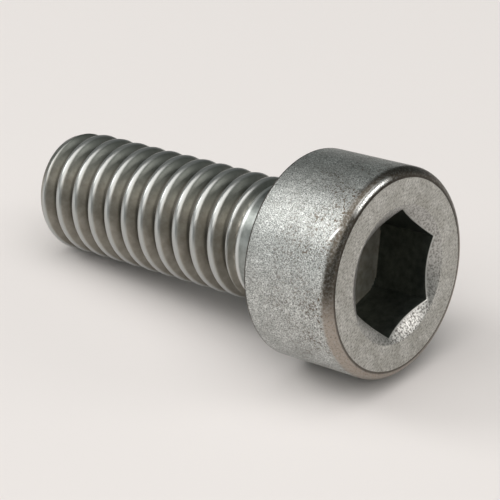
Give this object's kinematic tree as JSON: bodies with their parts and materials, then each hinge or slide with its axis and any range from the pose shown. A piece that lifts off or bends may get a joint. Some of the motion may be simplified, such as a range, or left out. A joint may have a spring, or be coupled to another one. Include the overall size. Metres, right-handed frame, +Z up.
{
  "type": "hexagon socket head cap screw",
  "caption": "Short round-headed machine screw with a hexagon socket in its head and a coarse thread up to a short plain neck, lying on its side.",
  "frame": {"origin": "on the surface that the screw lies on, under the middle of its bounding box", "axes": "+Z up from that surface; +X along the lying screw from its head towards its threaded end, which dips by about 7 degrees; +Y across it"},
  "size_m": [0.015, 0.0068, 0.0072],
  "materials": {
    "zinc_plated_steel": "satin"
  },
  "bodies": {
    "root": {"cap_screw": "zinc_plated_steel"}
  },
  "joints": []
}
